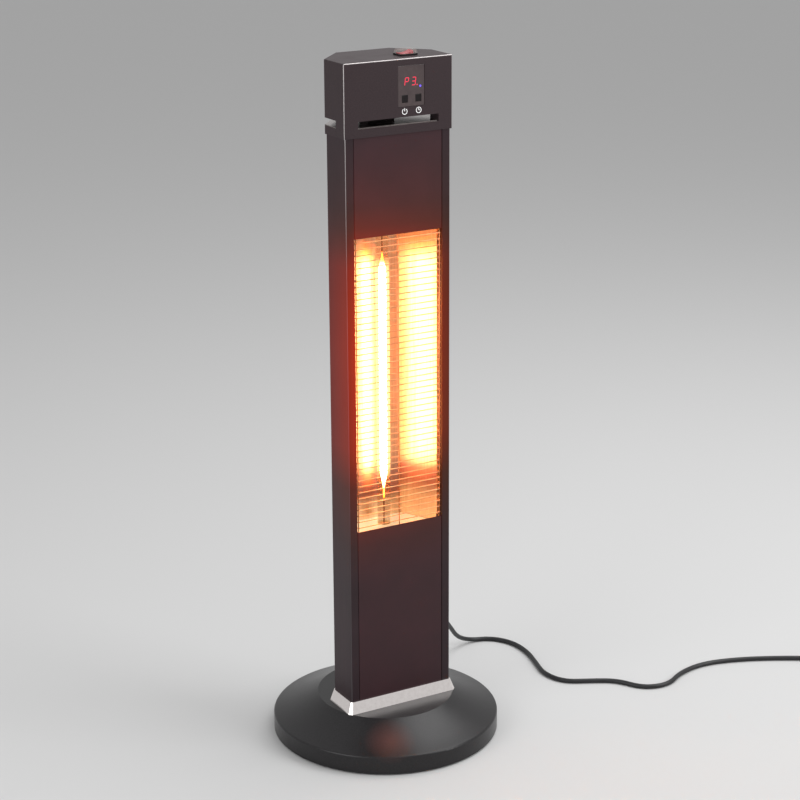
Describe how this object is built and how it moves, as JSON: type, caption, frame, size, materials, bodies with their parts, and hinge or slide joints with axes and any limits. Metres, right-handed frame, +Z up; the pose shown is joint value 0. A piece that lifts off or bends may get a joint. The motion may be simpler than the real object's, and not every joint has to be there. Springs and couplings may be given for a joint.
{
  "type": "infrared patio heater tower",
  "caption": "Free-standing infrared heater tower: weighted round base, six-sided column with a guarded reflector lamp, and a control head with display, buttons and rocker switch.",
  "frame": {"origin": "centre of the round base on the floor, in the middle of the underside's outline", "axes": "+Z up along the column; the lamp window and the display face -Y; +X is on the right of the front view"},
  "size_m": [0.9287, 0.4515, 0.9165],
  "materials": {
    "base_paint": "satin fine texture",
    "base_iron": "rough cast",
    "zinc_steel": "zinc plated",
    "rubber": "matt",
    "skirt_chrome": "polished",
    "column_metal": "satin",
    "column_aluminium": "satin paint",
    "guard_metal": "satin",
    "reflector_metal": "polished",
    "quartz": "clear",
    "element_glow": "glowing",
    "white_ceramic": "matt",
    "deck_metal": "brushed",
    "head_plastic": "satin",
    "panel_plastic": "gloss",
    "digit_red": "lit",
    "led_blue": "lit",
    "button_plastic": "satin",
    "board_green": "lacquered",
    "part_black": "satin",
    "part_blue": "satin",
    "wire_brown": "matt",
    "switch_red": "gloss",
    "cap_clear": "clear",
    "cord_black": "satin",
    "pin_brass": "nickel plated"
  },
  "bodies": {
    "tower": {"base_cover": "base_paint", "base_weight": "base_iron", "base_plate": "zinc_steel", "rubber_feet": "rubber", "base_screws": "zinc_steel", "pedestal_bolts": "zinc_steel", "foot_plate": "zinc_steel", "foot_plate_screws": "zinc_steel", "chrome_skirt": "skirt_chrome", "column_extrusion": "column_aluminium", "lower_front_panel": "column_metal", "upper_front_panel": "column_metal", "reflector": "reflector_metal", "reflector_wings": "reflector_metal", "reflector_floor": "reflector_metal", "reflector_ceiling": "reflector_metal", "guard_grille": "guard_metal", "guard_frame": "guard_metal", "lamp_tube": "quartz", "heating_element": "element_glow", "lower_lamp_cap": "white_ceramic", "upper_lamp_cap": "white_ceramic", "lower_lamp_bracket": "zinc_steel", "upper_lamp_bracket": "zinc_steel", "heat_shield": "zinc_steel", "thermal_cutout": "part_black", "upper_lamp_lead": "wire_brown", "lower_lamp_lead": "wire_brown", "inner_mains_lead": "cord_black", "head_tray": "head_plastic", "deck_plate": "deck_metal", "wiring_neck": "part_black", "electronics_tray": "head_plastic", "head_housing": "head_plastic", "display_panel": "panel_plastic", "display_digits": "digit_red", "digit_module": "part_black", "indicator_led": "led_blue", "control_board": "board_green", "tact_switches": "part_black", "power_board": "board_green", "relay": "part_blue", "capacitor": "part_black", "terminal_block": "white_ceramic", "tilt_switch": "part_black", "switch_leads": "wire_brown", "switch_body": "part_black", "switch_cap": "cap_clear", "housing_screws": "zinc_steel", "tray_screws": "zinc_steel", "strain_relief": "rubber", "mains_cord": "cord_black", "cord_coil": "cord_black", "plug_lead": "cord_black", "cord_tie": "part_black", "plug_body": "rubber", "plug_pins": "pin_brass"},
    "power_button": {"power_button": "button_plastic"},
    "timer_button": {"timer_button": "button_plastic"},
    "switch_rocker": {"switch_rocker": "switch_red"}
  },
  "joints": [
    {"name": "power_button_press", "type": "slide", "parent": "tower", "child": "power_button", "axis": [0, 1, 0], "range_m": [0, 0.0008], "stiffness_N_per_m": 300},
    {"name": "timer_button_press", "type": "slide", "parent": "tower", "child": "timer_button", "axis": [0, 1, 0], "range_m": [0, 0.0008], "stiffness_N_per_m": 300},
    {"name": "rocker_turn", "type": "hinge", "parent": "tower", "child": "switch_rocker", "pos_m": [0.026, -0.0165, 0.9065], "axis": [0, 1, 0], "range_deg": [0, 18]}
  ]
}
